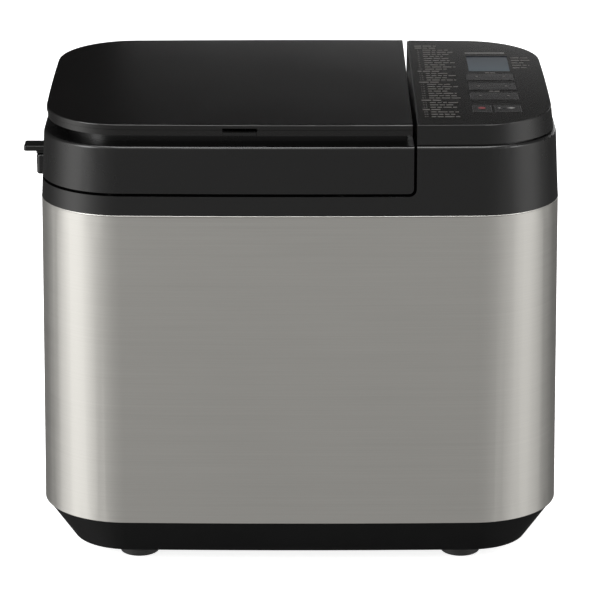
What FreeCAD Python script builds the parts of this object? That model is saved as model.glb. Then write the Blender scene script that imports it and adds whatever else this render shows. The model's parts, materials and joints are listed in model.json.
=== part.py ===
import FreeCAD, Part
import math
import os
import re
import Sketcher

# Bread machine: steel-sleeved body, baking chamber with a lift-out pan and kneading blade,
# belt drive, rear-hinged lid with fruit and yeast dispensers, and a control panel on the right.
# Frame: X to the right, Y to the back, Z up. Everything is drawn about the body's own centre and is
# moved on export, so that the files' origin is on the floor under the middle of the whole.
# All lengths are in millimetres and all angles in degrees.

DIMS = {
    # the middle of the whole, from the body's centre
    "middle_x": -7.2, "middle_y": 2.5,
    # plan outline of the body: four bowed sides joined by round corners
    "body_width": 390.4, "body_depth": 252.0, "crown_front": 4.0, "crown_side": 2.0, "corner_radius": 64.0,
    # heights
    "base_low": 11.2, "steel_low": 42.0, "steel_high": 283.0, "deck_low": 293.4, "deck_high": 297.4,
    "lid_low": 299.6, "ledge": 334.8, "neck_high": 341.5, "plate_high": 350.5, "top_tilt": 2.41,
    "tilt_front": 121.0,
    # drafts and insets of the outline
    "steel_flare": 3.0, "steel_draft": -0.713, "frame_flare": 0.0, "frame_draft": -3.1, "edge_round": 2.5,
    "base_top_inset": -2.2, "base_low_inset": 19.1, "sheet": 0.7, "wall": 2.5, "lid_wall": 3.0,
    # the line where the lid meets the panel block
    "lid_right": 83.6, "block_left": 85.8, "lid_corner": 3.6, "notch_corner": 5.6,
    # feet
    "foot_x": 124.3, "foot_y": 77.0, "foot_radius": 15.3, "foot_round": 1.8,
    # baking chamber
    "oven_x": -60.0, "oven_half_long": 108.0, "oven_half_deep": 90.0, "oven_low": 78.0, "oven_sheet": 1.0,
    "oven_corner": 16.0, "oven_flange": 8.0, "mouth_lip": 2.0,
    # chassis
    "chassis_low": 60.0, "chassis_high": 61.5, "chassis_inset": 14.0, "post_radius": 5.0, "post_x": 150.0,
    "post_y": 78.0,
    # belt drive
    "motor_x": 128.0, "shaft_radius": 4.0, "shaft_play": 0.05, "pulley_low": 30.0, "pulley_high": 42.0,
    "big_pulley": 42.0, "small_pulley": 9.0, "belt_low": 33.0, "belt_high": 39.0, "belt_thick": 2.2,
    "belt_play": 0.08, "groove_lip": 2.5, "bearing_radius": 14.0, "neck_radius": 9.0, "neck_top": 82.0,
    "dog_low": 82.5, "dog_high": 89.0, "dog_reach": 14.0, "dog_half": 4.0,
    # motor
    "stator_half": 38.0, "stator_low": 95.0, "stator_high": 133.0, "rotor_radius": 24.0, "air_gap": 0.5,
    "coil_radius": 35.0, "coil_high": 7.0, "end_plate": 3.0, "fan_low": 147.0, "fan_high": 155.0,
    "fan_radius": 33.0,
    # bread pan
    "pan_low": 100.0, "pan_high": 220.0, "pan_half_long": 86.0, "pan_half_deep": 56.0, "pan_draft": 1.82,
    "pan_sheet": 1.6, "pan_corner": 18.0, "rim_reach": 3.0, "rim_high": 2.0, "bush_radius": 12.0,
    "bush_low": 94.4, "bush_high": 104.5, "skirt_radius": 35.0, "skirt_sheet": 2.0, "seat_radius": 32.0,
    "coupler_low": 91.0, "coupler_high": 94.0, "coupler_radius": 15.0, "pin_radius": 3.0, "pin_low": 84.0,
    # kneading blade
    "hub_radius": 10.0, "hub_low": 105.0, "hub_high": 127.0, "blade_reach": 46.0, "blade_thick": 4.0,
    "blade_high": 150.0,
    # pan handle
    "pivot_z": 223.0, "lug_thick": 2.5, "bail_x": 94.5, "bail_reach": 68.0, "wire_radius": 2.5,
    "grip_radius": 4.5,
    "grip_half": 45.0, "bail_bend": 2.6,
    # heater
    "heater_radius": 3.2, "heater_z": 92.0, "heater_half_long": 97.0, "heater_half_deep": 78.0,
    "heater_bend": 18.0,
    "heater_leg": 14.0, "heater_out": 122.0,
    # lid hinge
    "hinge_y": 119.5, "hinge_z": 311.5, "knuckle_radius": 4.5, "knuckle_long": 24.0, "knuckle_left": -125.0,
    "knuckle_right": 20.0, "hinge_pin": 2.0, "notch_play": 0.5, "boss_long": 6.0,
    # lid neck, dispensers and plate
    "neck_inset": 21.0, "neck_back": 107.0, "neck_right": 79.0, "plate_inset": 5.2, "plate_right": 82.4,
    "band_high": 346.5, "band_low": 342.3, "groove_high": 346.9, "plate_pivot_y": 110.5,
    "plate_pivot_z": 350.0,
    "barrel_radius": 3.0, "barrel_long": 20.0, "plate_pin": 1.5,
    "tray_left": -137.0, "tray_right": -43.0, "tray_front": -8.0, "tray_back": 38.0, "tray_wall": 2.0,
    "cup_x": 2.0, "cup_y": 12.0, "cup_radius": 18.0, "spout_radius": 12.5, "flap_low": 301.4,
    "flap_high": 303.4, "flap_pin": 1.4,
    "catch_x": -44.0, "catch_half": 12.8, "catch_low": 342.0, "catch_high": 344.6,
    # control panel
    "panel_inset": 3.2, "panel_draft": -7.0, "overlay": 0.5, "key_left": 128.4, "key_right": 164.4,
    "key_deep": 17.6, "key_proud": 0.2, "key_gap": 0.3, "glass_left": 130.9, "glass_right": 162.8,
    "glass_front": 26.8, "glass_back": 70.6,
    # lifting tab and grip on the left side
    "tab_reach": 212.6, "tab_half": 9.0, "tab_low": 302.0, "tab_high": 306.0, "grip_reach": 203.0,
    "grip_low": 283.6, "grip_high": 299.2,
    # cord gland and the vents beside it
    "gland_x": 150.0, "gland_z": 62.0, "gland_radius": 7.0, "vent_x": 40.0, "vent_z": 178.0,
    "vent_high": 26.0,
    # seam under the front of the panel block
    "seam_high": 1.0, "seam_inset": 6.8,
}

doc = FreeCAD.newDocument("BreadMachine")
sheet = doc.addObject("Spreadsheet::Sheet", "Dims")
for row, (alias, value) in enumerate(DIMS.items(), start=1):
    sheet.set(f"A{row}", alias)
    sheet.set(f"B{row}", str(value))
    sheet.setAlias(f"B{row}", alias)
doc.recompute()

NODES = []
AXIS_TURN = {
    "X": FreeCAD.Rotation(FreeCAD.Vector(0, 1, 0), 90),
    "Y": FreeCAD.Rotation(FreeCAD.Vector(1, 0, 0), -90),
    "Z": FreeCAD.Rotation(),
}
# The top plate and the control panel lie in one plane that rises gently to the back.
TOP_TILT = FreeCAD.Placement(
    FreeCAD.Vector(0, 0, 0),
    FreeCAD.Rotation(FreeCAD.Vector(1, 0, 0), DIMS["top_tilt"]),
    FreeCAD.Vector(0, -DIMS["tilt_front"], DIMS["plate_high"]),
)


# ---------------------------------------------------------------- helpers

def formula(text):
    """The expression with every alias written as a cell of the sheet."""
    def cell(word):
        return "Dims." + word.group(0) if word.group(0) in DIMS else word.group(0)
    return re.sub(r"[a-z][a-z_]*", cell, str(text))


def number(text):
    """The value of an expression in the sheet's aliases."""
    return float(sheet.evalExpression(formula(text)))


def bind(obj, **links):
    for prop, text in links.items():
        obj.setExpression(prop, formula(text))


def put(obj, x, y, z, axis="Z"):
    obj.Placement.Rotation = AXIS_TURN[axis]
    for letter, text in zip("xyz", (x, y, z)):
        obj.setExpression(f"Placement.Base.{letter}", formula(text))
    return obj


def box(x, y, z, name="Block"):
    """A box between the (low, high) pairs x, y and z."""
    block = doc.addObject("Part::Box", name)
    spans = [f"({high}) - ({low})" for low, high in (x, y, z)]
    bind(block, Length=spans[0], Width=spans[1], Height=spans[2])
    return put(block, x[0], y[0], z[0])


def rod(at, radius, length, axis="Z", name="Rod"):
    """A cylinder that starts at a point and runs along an axis."""
    cylinder = doc.addObject("Part::Cylinder", name)
    bind(cylinder, Radius=radius, Height=length)
    return put(cylinder, *at, axis=axis)


def cone(at, low_radius, high_radius, length, name="Taper"):
    taper = doc.addObject("Part::Cone", name)
    bind(taper, Radius1=low_radius, Radius2=high_radius, Height=length)
    return put(taper, *at)


def fuse(parts, name="Joined"):
    joined = doc.addObject("Part::MultiFuse", name)
    joined.Shapes = parts
    return joined


def cut(base, tools, name="Trimmed"):
    trimmed = doc.addObject("Part::Cut", name)
    trimmed.Base = base
    trimmed.Tool = tools[0] if len(tools) == 1 else fuse(tools)
    return trimmed


def common(parts, name="Shared"):
    shared = doc.addObject("Part::MultiCommon", name)
    shared.Shapes = parts
    return shared


def tube(at, outer, inner, length, axis="Z", name="Tube"):
    """A round tube; the bore runs through both ends."""
    return cut(rod(at, outer, length, axis), [rod(at, inner, length, axis)], name)


def node(obj, label):
    """Registers a finished sub-part under the name of its file."""
    obj.Label = label
    if obj.Label != label:
        raise ValueError(f"label {label} is taken")
    NODES.append(obj)
    return obj


def sloped(obj):
    """The piece laid on the sloping plane of the top."""
    carrier = doc.addObject("Part::Compound", "Sloped")
    carrier.Links = [obj]
    carrier.Placement = TOP_TILT
    return carrier


def plane_of(body):
    return [feature for feature in body.Origin.OriginFeatures if feature.Role == "XY_Plane"][0]


def new_sketch(body, z):
    sketch = body.newObject("Sketcher::SketchObject", "Profile")
    sketch.AttachmentSupport = [(plane_of(body), "")]
    sketch.MapMode = "FlatFace"
    sketch.setExpression("AttachmentOffset.Base.z", formula(z))
    return sketch


# Radii of the bowed sides, from the chord and the crown.
FRONT_BOW = "((body_width / 2)^2 + crown_front^2) / (2 * crown_front)"
SIDE_BOW = "((body_depth / 2)^2 + crown_side^2) / (2 * crown_side)"
FRONT_CENTRE = f"{FRONT_BOW} - body_depth / 2"
SIDE_CENTRE = f"{SIDE_BOW} - body_width / 2"


def corner_centre(front_radius, side_radius, corner, front_y, side_x):
    """Centre of the corner arc that touches the front bow and the side bow from inside."""
    near = front_radius - corner
    far = side_radius - corner
    gap_x, gap_y = side_x, -front_y
    gap = math.hypot(gap_x, gap_y)
    along = (near ** 2 - far ** 2 + gap ** 2) / (2 * gap)
    off = math.sqrt(near ** 2 - along ** 2)
    x = (gap_x * along - gap_y * off) / gap
    y = front_y + (gap_y * along + gap_x * off) / gap
    return x, y


def outline_sketch(body, z, inset):
    """The body's plan outline at height z, moved inwards by inset: eight tangent arcs."""
    front = number(FRONT_BOW) - number(inset)
    side = number(SIDE_BOW) - number(inset)
    corner = number("corner_radius") - number(inset)
    front_y = number(FRONT_CENTRE)
    side_x = -number(SIDE_CENTRE)
    x, y = corner_centre(front, side, corner, front_y, side_x)
    low = math.atan2(y - front_y, x)
    high = math.atan2(y, x - side_x)
    turn = math.pi
    spans = [
        (0, front_y, front, -turn - low, low), (x, y, corner, low, high),
        (side_x, 0, side, high, -high), (x, -y, corner, -high, -low),
        (0, -front_y, front, -low, turn + low), (-x, -y, corner, turn + low, turn + high),
        (-side_x, 0, side, turn + high, turn - high), (-x, y, corner, -turn - high, -turn - low),
    ]
    sketch = new_sketch(body, z)
    up = FreeCAD.Vector(0, 0, 1)
    for cx, cy, radius, start, end in spans:
        circle = Part.Circle(FreeCAD.Vector(cx, cy, 0), up, radius)
        sketch.addGeometry(Part.ArcOfCircle(circle, start, end), False)
    for arc in range(8):
        sketch.addConstraint(Sketcher.Constraint("Tangent", arc, 2, (arc + 1) % 8, 1))
    radii = [FRONT_BOW, "corner_radius", SIDE_BOW, "corner_radius"] * 2
    for arc, radius in enumerate(radii):
        limit = sketch.addConstraint(Sketcher.Constraint("Radius", arc, spans[arc][2]))
        sketch.setExpression(f"Constraints[{limit}]", formula(f"{radius} - ({inset})"))
    for arc, line in ((0, -2), (4, -2), (2, -1), (6, -1)):
        sketch.addConstraint(Sketcher.Constraint("PointOnObject", arc, 3, line))
    places = [("DistanceY", (-1, 1, 0, 3), FRONT_CENTRE), ("DistanceY", (4, 3, -1, 1), FRONT_CENTRE),
              ("DistanceX", (2, 3, -1, 1), SIDE_CENTRE), ("DistanceX", (-1, 1, 6, 3), SIDE_CENTRE)]
    for kind, points, text in places:
        limit = sketch.addConstraint(Sketcher.Constraint(kind, *points, number(text)))
        sketch.setExpression(f"Constraints[{limit}]", formula(text))
    return sketch


def pad(body, sketch, length, draft=None):
    solid = body.newObject("PartDesign::Pad", "Rise")
    solid.Profile = sketch
    bind(solid, Length=length)
    if draft is not None:
        bind(solid, TaperAngle=draft)
    return solid


def round_edges(body, solid, radius, wanted):
    """Fillets the edges of a feature that the test picks by their bounding box."""
    doc.recompute()
    names = [f"Edge{i}" for i, edge in enumerate(solid.Shape.Edges, start=1) if wanted(edge.BoundBox)]
    rounding = body.newObject("PartDesign::Fillet", "Round")
    rounding.Base = (solid, names)
    bind(rounding, Radius=radius)
    return rounding


def form(low, high, inset, draft=None, top_round=None, name="Form"):
    """A solid with the body's plan outline between two heights."""
    body = doc.addObject("PartDesign::Body", name)
    solid = pad(body, outline_sketch(body, low, inset), f"({high}) - ({low})", draft)
    if top_round is not None:
        top = number(high) - 0.01
        round_edges(body, solid, top_round, lambda bounds: bounds.ZMin > top)
    return body


def rectangle_sketch(body, x, y, z):
    """A rectangle between the (low, high) pairs x and y at height z."""
    sketch = new_sketch(body, z)
    xs = [number(text) for text in x]
    ys = [number(text) for text in y]
    corners = [FreeCAD.Vector(xs[i], ys[j], 0) for i, j in ((0, 0), (1, 0), (1, 1), (0, 1))]
    for side in range(4):
        sketch.addGeometry(Part.LineSegment(corners[side], corners[(side + 1) % 4]), False)
    for side in range(4):
        sketch.addConstraint(Sketcher.Constraint("Coincident", side, 2, (side + 1) % 4, 1))
        sketch.addConstraint(Sketcher.Constraint("Vertical" if side % 2 else "Horizontal", side))
    for kind, point, text in (("DistanceX", (0, 1), x[0]), ("DistanceX", (1, 1), x[1]),
                              ("DistanceY", (0, 1), y[0]), ("DistanceY", (2, 1), y[1])):
        limit = sketch.addConstraint(Sketcher.Constraint(kind, *point, number(text)))
        sketch.setExpression(f"Constraints[{limit}]", formula(text))
    return sketch


def block(x, y, z, corner, draft=None, name="Tub"):
    """A box whose upright edges are rounded, with draft if it tapers."""
    body = doc.addObject("PartDesign::Body", name)
    solid = pad(body, rectangle_sketch(body, x, y, z[0]), f"({z[1]}) - ({z[0]})", draft)
    tall = (number(z[1]) - number(z[0])) * 0.9
    round_edges(body, solid, corner, lambda bounds: bounds.ZLength > tall)
    return body


def pipe(points, radius, bend, name="Bent"):
    """A round bar along straight runs joined by tangent arcs."""
    spots = [FreeCAD.Vector(*[number(value) for value in point]) for point in points]
    bend = number(bend)
    edges = []
    start = spots[0]
    for before, corner, after in zip(spots, spots[1:], spots[2:]):
        back = (before - corner).normalize()
        ahead = (after - corner).normalize()
        half = back.getAngle(ahead) / 2
        leg = bend / math.tan(half)
        middle = corner + (back + ahead).normalize() * (bend / math.sin(half) - bend)
        enter = corner + back * leg
        leave = corner + ahead * leg
        edges += [Part.LineSegment(start, enter).toShape(), Part.Arc(enter, middle, leave).toShape()]
        start = leave
    edges.append(Part.LineSegment(start, spots[-1]).toShape())
    path = Part.Wire(edges)
    ring = Part.Circle(spots[0], spots[1] - spots[0], number(radius)).toShape()
    bar = doc.addObject("Part::Feature", name)
    bar.Shape = path.makePipeShell([Part.Wire(ring)], True, False)
    return bar


def mirrored(places, make):
    """One solid per place, made by the same function."""
    return [make(*place) for place in places]


FOUR = [(-1, -1), (1, -1), (1, 1), (-1, 1)]
SIX = FOUR + [(0, -1), (0, 1)]
PLATE_BARRELS = ("-125", "20")
LID_KNUCKLES = ("knuckle_left", "knuckle_right")


# ---------------------------------------------------------------- body

def make_base():
    outer = doc.addObject("PartDesign::Body", "BaseOuter")
    inner = doc.addObject("PartDesign::Body", "BaseInner")
    for body, step in ((outer, "0"), (inner, "wall")):
        low = outline_sketch(body, f"base_low + ({step})", f"base_low_inset + ({step})")
        high = outline_sketch(body, "steel_low", f"base_top_inset + ({step})")
        loft = body.newObject("PartDesign::AdditiveLoft", "Hull")
        loft.Profile = low
        loft.Sections = [high]
    lip = cut(form("steel_low", "steel_low + 4", "sheet - steel_flare + 0.2"),
              [form("steel_low", "steel_low + 4", "sheet - steel_flare + 0.2 + wall")])
    posts = mirrored(SIX, lambda i, j: rod(
        (f"{i} * post_x", f"{j} * (post_y + 12 * (1 - abs({i})))", "base_low + wall - 0.5"),
        "post_radius", "chassis_low - base_low - wall + 0.5"))
    slots = [box((f"{i} * 14 - 3", f"{i} * 14 + 3"), (f"{j} * 34 - 14", f"{j} * 34 + 14"),
                 ("base_low - 1", "base_low + wall + 1")) for i in range(-3, 10) for j in (-1, 1)]
    shell = cut(outer, [inner])
    node(cut(fuse([shell, lip] + posts), slots), "base_shell")


def make_feet():
    feet = []
    for i, j in FOUR:
        at = (f"{i} * foot_x", f"{j} * foot_y")
        feet.append(cone((*at, "0"), "foot_radius - foot_round", "foot_radius - foot_round / 4",
                         "foot_round / 3"))
        feet.append(cone((*at, "foot_round / 3"), "foot_radius - foot_round / 4", "foot_radius",
                         "foot_round * 2 / 3"))
        feet.append(rod((*at, "foot_round"), "foot_radius", "base_low - foot_round"))
    node(fuse(feet), "feet")


def make_sleeve():
    outer = form("steel_low", "steel_high", "-steel_flare", "steel_draft")
    inner = form("steel_low", "steel_high", "sheet - steel_flare", "steel_draft")
    vents = [box((f"vent_x + {i} * 9 - 2", f"vent_x + {i} * 9 + 2"),
                 ("body_depth / 2 - 12", "body_depth / 2 + 9"),
                 (f"vent_z + {j} * 34", f"vent_z + vent_high + {j} * 34")) for i in range(9) for j in (0, 1)]
    inlet = rod(("gland_x", "body_depth / 2 - 15", "gland_z"), "gland_radius + 0.2", "30", "Y")
    node(cut(outer, [inner, inlet] + vents), "outer_sleeve")


def make_cord_gland():
    inside = ("gland_x", "body_depth / 2 - 12", "gland_z")
    bush = rod(inside, "gland_radius", "20", "Y")
    flange = rod(("gland_x", "body_depth / 2 + 1.4", "gland_z"), "gland_radius + 3.5", "2.5", "Y")
    nut = rod(inside, "gland_radius + 2.5", "4", "Y")
    node(fuse([bush, flange, nut]), "cord_gland")


def upper_form():
    """The black upper body before it is split into frame and lid."""
    return form("steel_high", "ledge", "-frame_flare", "frame_draft", "edge_round")


def inside_corner(right, low, radius):
    """What a round of a lower right edge takes away, along the whole depth."""
    corner = box((f"{right} - {radius}", f"{right} + 1"), ("-body_depth", "body_depth"),
                 (f"{low} - 1", f"{low} + {radius}"))
    return cut(corner, [rod((f"{right} - {radius}", "-body_depth - 1", f"{low} + {radius}"), radius,
                            "2 * body_depth + 2", "Y")])


def make_top_frame():
    everything = ("-body_width", "body_width")
    deep = ("-body_depth", "body_depth")
    lid_space = cut(box(("-body_width", "block_left"), deep, ("deck_high", "ledge + 30")),
                    [inside_corner("block_left", "deck_high", "notch_corner")])
    under = common([form("steel_high", "deck_low", "wall"),
                    box(everything, deep, ("steel_high", "deck_low"))])
    inside = common([form("deck_low - 1", "ledge - lid_wall", "wall + 2"),
                     box(("block_left + wall", "body_width"), deep, ("deck_low - 1", "ledge - lid_wall"))])
    window = box(("block_left + 10", "175"), ("-100", "95"), ("ledge - 10", "ledge + 1"))
    mouth = block(("oven_x - oven_half_long + mouth_lip", "oven_x + oven_half_long - mouth_lip"),
                  ("-oven_half_deep + mouth_lip", "oven_half_deep - mouth_lip"),
                  ("deck_low - 1", "deck_high + 1"), "oven_corner - mouth_lip")
    lip = cut(form("steel_high - 6", "steel_high", "sheet + 0.1"),
              [form("steel_high - 6", "steel_high", "sheet + 0.1 + wall")])
    hinge_stands = []
    bores = []
    for left in LID_KNUCKLES:
        span = (left, f"{left} + knuckle_long")
        hinge_stands.append(box(span, ("hinge_y - knuckle_radius", "hinge_y + knuckle_radius"),
                                ("deck_high - 1", "hinge_z")))
        hinge_stands.append(rod((left, "hinge_y", "hinge_z"), "knuckle_radius", "knuckle_long", "X"))
        bores.append(rod((f"{left} - 1", "hinge_y", "hinge_z"), "hinge_pin + shaft_play",
                         "knuckle_long + 2", "X"))
    shell = cut(upper_form(), [lid_space, under, inside, window, mouth])
    node(cut(fuse([shell, lip] + hinge_stands), bores), "top_frame")


def make_side_grip():
    """The bracket under the lifting tab, on the left side of the frame."""
    web = block(("-grip_reach", "-body_width / 2 + 8"), ("-tab_half", "tab_half"),
                ("grip_low", "grip_high"), "3")
    node(cut(web, [upper_form()]), "side_grip")


# ---------------------------------------------------------------- chamber

def oven_tub(grow, low, high, name="OvenRing"):
    """The chamber's round-cornered plan, grown on all sides, between two heights."""
    return block((f"oven_x - oven_half_long - ({grow})", f"oven_x + oven_half_long + ({grow})"),
                 (f"-oven_half_deep - ({grow})", f"oven_half_deep + ({grow})"), (low, high),
                 f"oven_corner + ({grow})", name=name)


def make_chamber():
    outer = oven_tub("oven_sheet", "oven_low", "deck_low", "OvenOuter")
    inner = oven_tub("0", "oven_low + oven_sheet", "deck_low + 1", "OvenInner")
    flange = oven_tub("oven_flange", "deck_low - oven_sheet", "deck_low", "OvenFlange")
    shaft_hole = rod(("oven_x", "0", "oven_low - 1"), "neck_radius", "4")
    legs = mirrored([(-1,), (1,)], lambda j: rod(("oven_x + oven_half_long - 4", f"{j} * heater_leg",
                                                  "heater_z"),
                                                 "heater_radius + 2", "10", "X"))
    probe = rod(("oven_x - 70", "-oven_half_deep - 4", "120"), "4", "8", "Y")
    shell = cut(fuse([outer, flange]), [inner, shaft_hole, probe] + legs)
    node(shell, "oven_chamber")


def make_heater():
    right = "oven_x + heater_half_long"
    left = "oven_x - heater_half_long"
    out = "oven_x + heater_out"
    corners = [(out, -1), (right, -1), (right, -2), (left, -2), (left, 2), (right, 2), (right, 1), (out, 1)]
    depth = {1: "heater_leg", 2: "heater_half_deep"}
    points = [(x, ("-" if step < 0 else "") + depth[abs(step)], "heater_z") for x, step in corners]
    node(pipe(points, "heater_radius", "heater_bend / 2"), "heater_element")
    beads = mirrored([(-1,), (1,)], lambda j: tube(
        ("oven_x + oven_half_long - 3", f"{j} * heater_leg", "heater_z"), "heater_radius + 2",
        "heater_radius", "9", "X"))
    clips = mirrored([(-1, -1), (1, -1), (-1, 1), (1, 1)], lambda i, j: box(
        (f"oven_x + {i} * 60 - 5", f"oven_x + {i} * 60 + 5"),
        (f"{j} * heater_half_deep - 2", f"{j} * heater_half_deep + 2"),
        ("oven_low + oven_sheet", "heater_z - heater_radius")))
    node(fuse(beads + clips), "heater_mounts")


def make_sensors():
    probe = rod(("oven_x - 70", "-oven_half_deep - 10", "120"), "3", "24", "Y")
    collar = rod(("oven_x - 70", "-oven_half_deep - oven_sheet - 3", "120"), "6.5", "3", "Y")
    node(fuse([probe, collar]), "temperature_probe")
    cartridge = rod(("oven_x - 14", "oven_half_deep + oven_sheet + 4", "150"), "3", "28", "X")
    saddle = box(("oven_x - 6", "oven_x + 6"), ("oven_half_deep + oven_sheet",
                                                "oven_half_deep + oven_sheet + 4"),
                 ("144", "156"))
    node(fuse([cartridge, saddle]), "thermal_fuse")


def make_chassis():
    plate = form("chassis_low", "chassis_high", "chassis_inset")
    bearing_hole = rod(("oven_x", "0", "chassis_low - 1"), "bearing_radius", "4")
    motor_hole = rod(("motor_x", "0", "chassis_low - 1"), "12", "4")
    legs = mirrored(FOUR, lambda i, j: box(
        (f"oven_x + {i} * 88 - 8", f"oven_x + {i} * 88 + 8"), (f"{j} * 61 - 6", f"{j} * 61 + 6"),
        ("chassis_low", "oven_low")))
    node(cut(fuse([plate] + legs), [bearing_hole, motor_hole]), "chassis_plate")
    block_body = rod(("oven_x", "0", "48"), "bearing_radius", "oven_low - 48")
    neck = rod(("oven_x", "0", "oven_low"), "neck_radius", "neck_top - oven_low")
    flange = rod(("oven_x", "0", "chassis_high"), "22", "3")
    bore = rod(("oven_x", "0", "40"), "shaft_radius + shaft_play", "50")
    node(cut(fuse([block_body, neck, flange]), [bore]), "bearing_block")


# ---------------------------------------------------------------- belt drive

def pulley(x, radius, label):
    rim = rod((x, "0", "pulley_low"), radius, "pulley_high - pulley_low")
    lips = [rod((x, "0", low), f"{radius} + groove_lip", "1.5") for low in ("pulley_low",
                                                                            "pulley_high - 1.5")]
    bore = rod((x, "0", "pulley_low - 1"), "shaft_radius", "pulley_high - pulley_low + 2")
    node(cut(fuse([rim] + lips), [bore]), label)


def belt_slab(grow):
    """The two pulley circles and the straight runs between them, each grown by the same amount."""
    big = f"big_pulley + {grow}"
    small = f"small_pulley + {grow}"
    span = number("motor_x - oven_x")
    lean = math.asin((number("big_pulley") - number("small_pulley")) / span)
    ends = []
    for side in (1, -1):
        turn = FreeCAD.Vector(math.sin(lean), side * math.cos(lean), 0)
        ends.append(FreeCAD.Vector(number("oven_x"), 0, 0) + turn * number(big))
        ends.append(FreeCAD.Vector(number("motor_x"), 0, 0) + turn * number(small))
    order = [ends[0], ends[1], ends[3], ends[2], ends[0]]
    lift = FreeCAD.Vector(0, 0, number("belt_low"))
    face = Part.Face(Part.makePolygon([point + lift for point in order]))
    runs = doc.addObject("Part::Feature", "BeltRuns")
    runs.Shape = face.extrude(FreeCAD.Vector(0, 0, number("belt_high - belt_low")))
    height = "belt_high - belt_low"
    return fuse([rod(("oven_x", "0", "belt_low"), big, height),
                 rod(("motor_x", "0", "belt_low"), small, height), runs])


def make_drive():
    pulley("oven_x", "big_pulley", "drive_pulley")
    pulley("motor_x", "small_pulley", "motor_pulley")
    node(cut(belt_slab("(belt_play + belt_thick)"), [belt_slab("belt_play")]), "drive_belt")
    node(rod(("oven_x", "0", "26"), "shaft_radius", "dog_high - 2 - 26"), "drive_shaft")
    hub = rod(("oven_x", "0", "dog_low"), "7", "dog_high - dog_low")
    bar = box(("oven_x - dog_reach", "oven_x + dog_reach"), ("-dog_half", "dog_half"),
              ("dog_low + 1", "dog_high"))
    bore = rod(("oven_x", "0", "dog_low - 1"), "shaft_radius", "dog_high - dog_low - 1")
    node(cut(fuse([hub, bar]), [bore]), "drive_dog")


def make_motor():
    span = ("motor_x - stator_half", "motor_x + stator_half")
    stack = block(span, ("-stator_half", "stator_half"), ("stator_low", "stator_high"), "8")
    bore = rod(("motor_x", "0", "stator_low - 1"), "rotor_radius + air_gap", "stator_high - stator_low + 2")
    node(cut(stack, [bore]), "motor_stator")
    coils = [tube(("motor_x", "0", low), "coil_radius", "rotor_radius + 2", "coil_high")
             for low in ("stator_low - coil_high", "stator_high")]
    node(fuse(coils), "motor_windings")
    frames = []
    for low in ("stator_low - coil_high - end_plate", "stator_high + coil_high"):
        frames.append(tube(("motor_x", "0", low), "stator_half", "shaft_radius + shaft_play", "end_plate"))
    span_high = "stator_high + coil_high - chassis_high"
    posts = mirrored(FOUR, lambda i, j: rod((f"motor_x + {i} * 27.5", f"{j} * 27.5", "chassis_high"), "3",
                                            span_high))
    node(cut(fuse(frames + posts), [stack]), "motor_frame")
    core = rod(("motor_x", "0", "stator_low"), "rotor_radius", "stator_high - stator_low")
    shaft = rod(("motor_x", "0", "26"), "shaft_radius", "fan_high - 26")
    node(fuse([core, shaft]), "motor_rotor")
    disc = rod(("motor_x", "0", "fan_low"), "fan_radius", "1.5")
    hub = rod(("motor_x", "0", "fan_low"), "8", "fan_high - fan_low")
    vanes = []
    for step in range(9):
        vane = box(("10", "fan_radius - 1"), ("-0.8", "0.8"), ("fan_low", "fan_high"))
        turned = doc.addObject("Part::Compound", "Vane")
        turned.Links = [vane]
        turned.Placement = FreeCAD.Placement(FreeCAD.Vector(number("motor_x"), 0, 0),
                                             FreeCAD.Rotation(FreeCAD.Vector(0, 0, 1), step * 40))
        vanes.append(turned)
    bore = rod(("motor_x", "0", "fan_low - 1"), "shaft_radius", "fan_high - fan_low + 2")
    node(cut(fuse([disc, hub] + vanes), [bore]), "motor_fan")


def make_electrics():
    node(rod(("110", "-78", "chassis_high"), "15", "46"), "run_capacitor")
    board = box(("66", "67.6"), ("-72", "72"), ("170", "268"))
    feet = [box(("50", "67.6"), (f"{j} * 60 - 4", f"{j} * 60 + 4"), ("164", "170")) for j in (-1, 1)]
    parts = [box(("67.6", "88"), ("-60", "-34"), ("186", "206")),
             box(("67.6", "96"), ("-20", "12"), ("214", "250")),
             box(("67.6", "84"), ("28", "46"), ("182", "200")), rod(("67.6", "40", "236"), "9", "22", "X"),
             rod(("67.6", "-48", "240"), "6", "16", "X")]
    node(fuse([board] + feet + parts), "power_board")


# ---------------------------------------------------------------- bread pan

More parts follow.
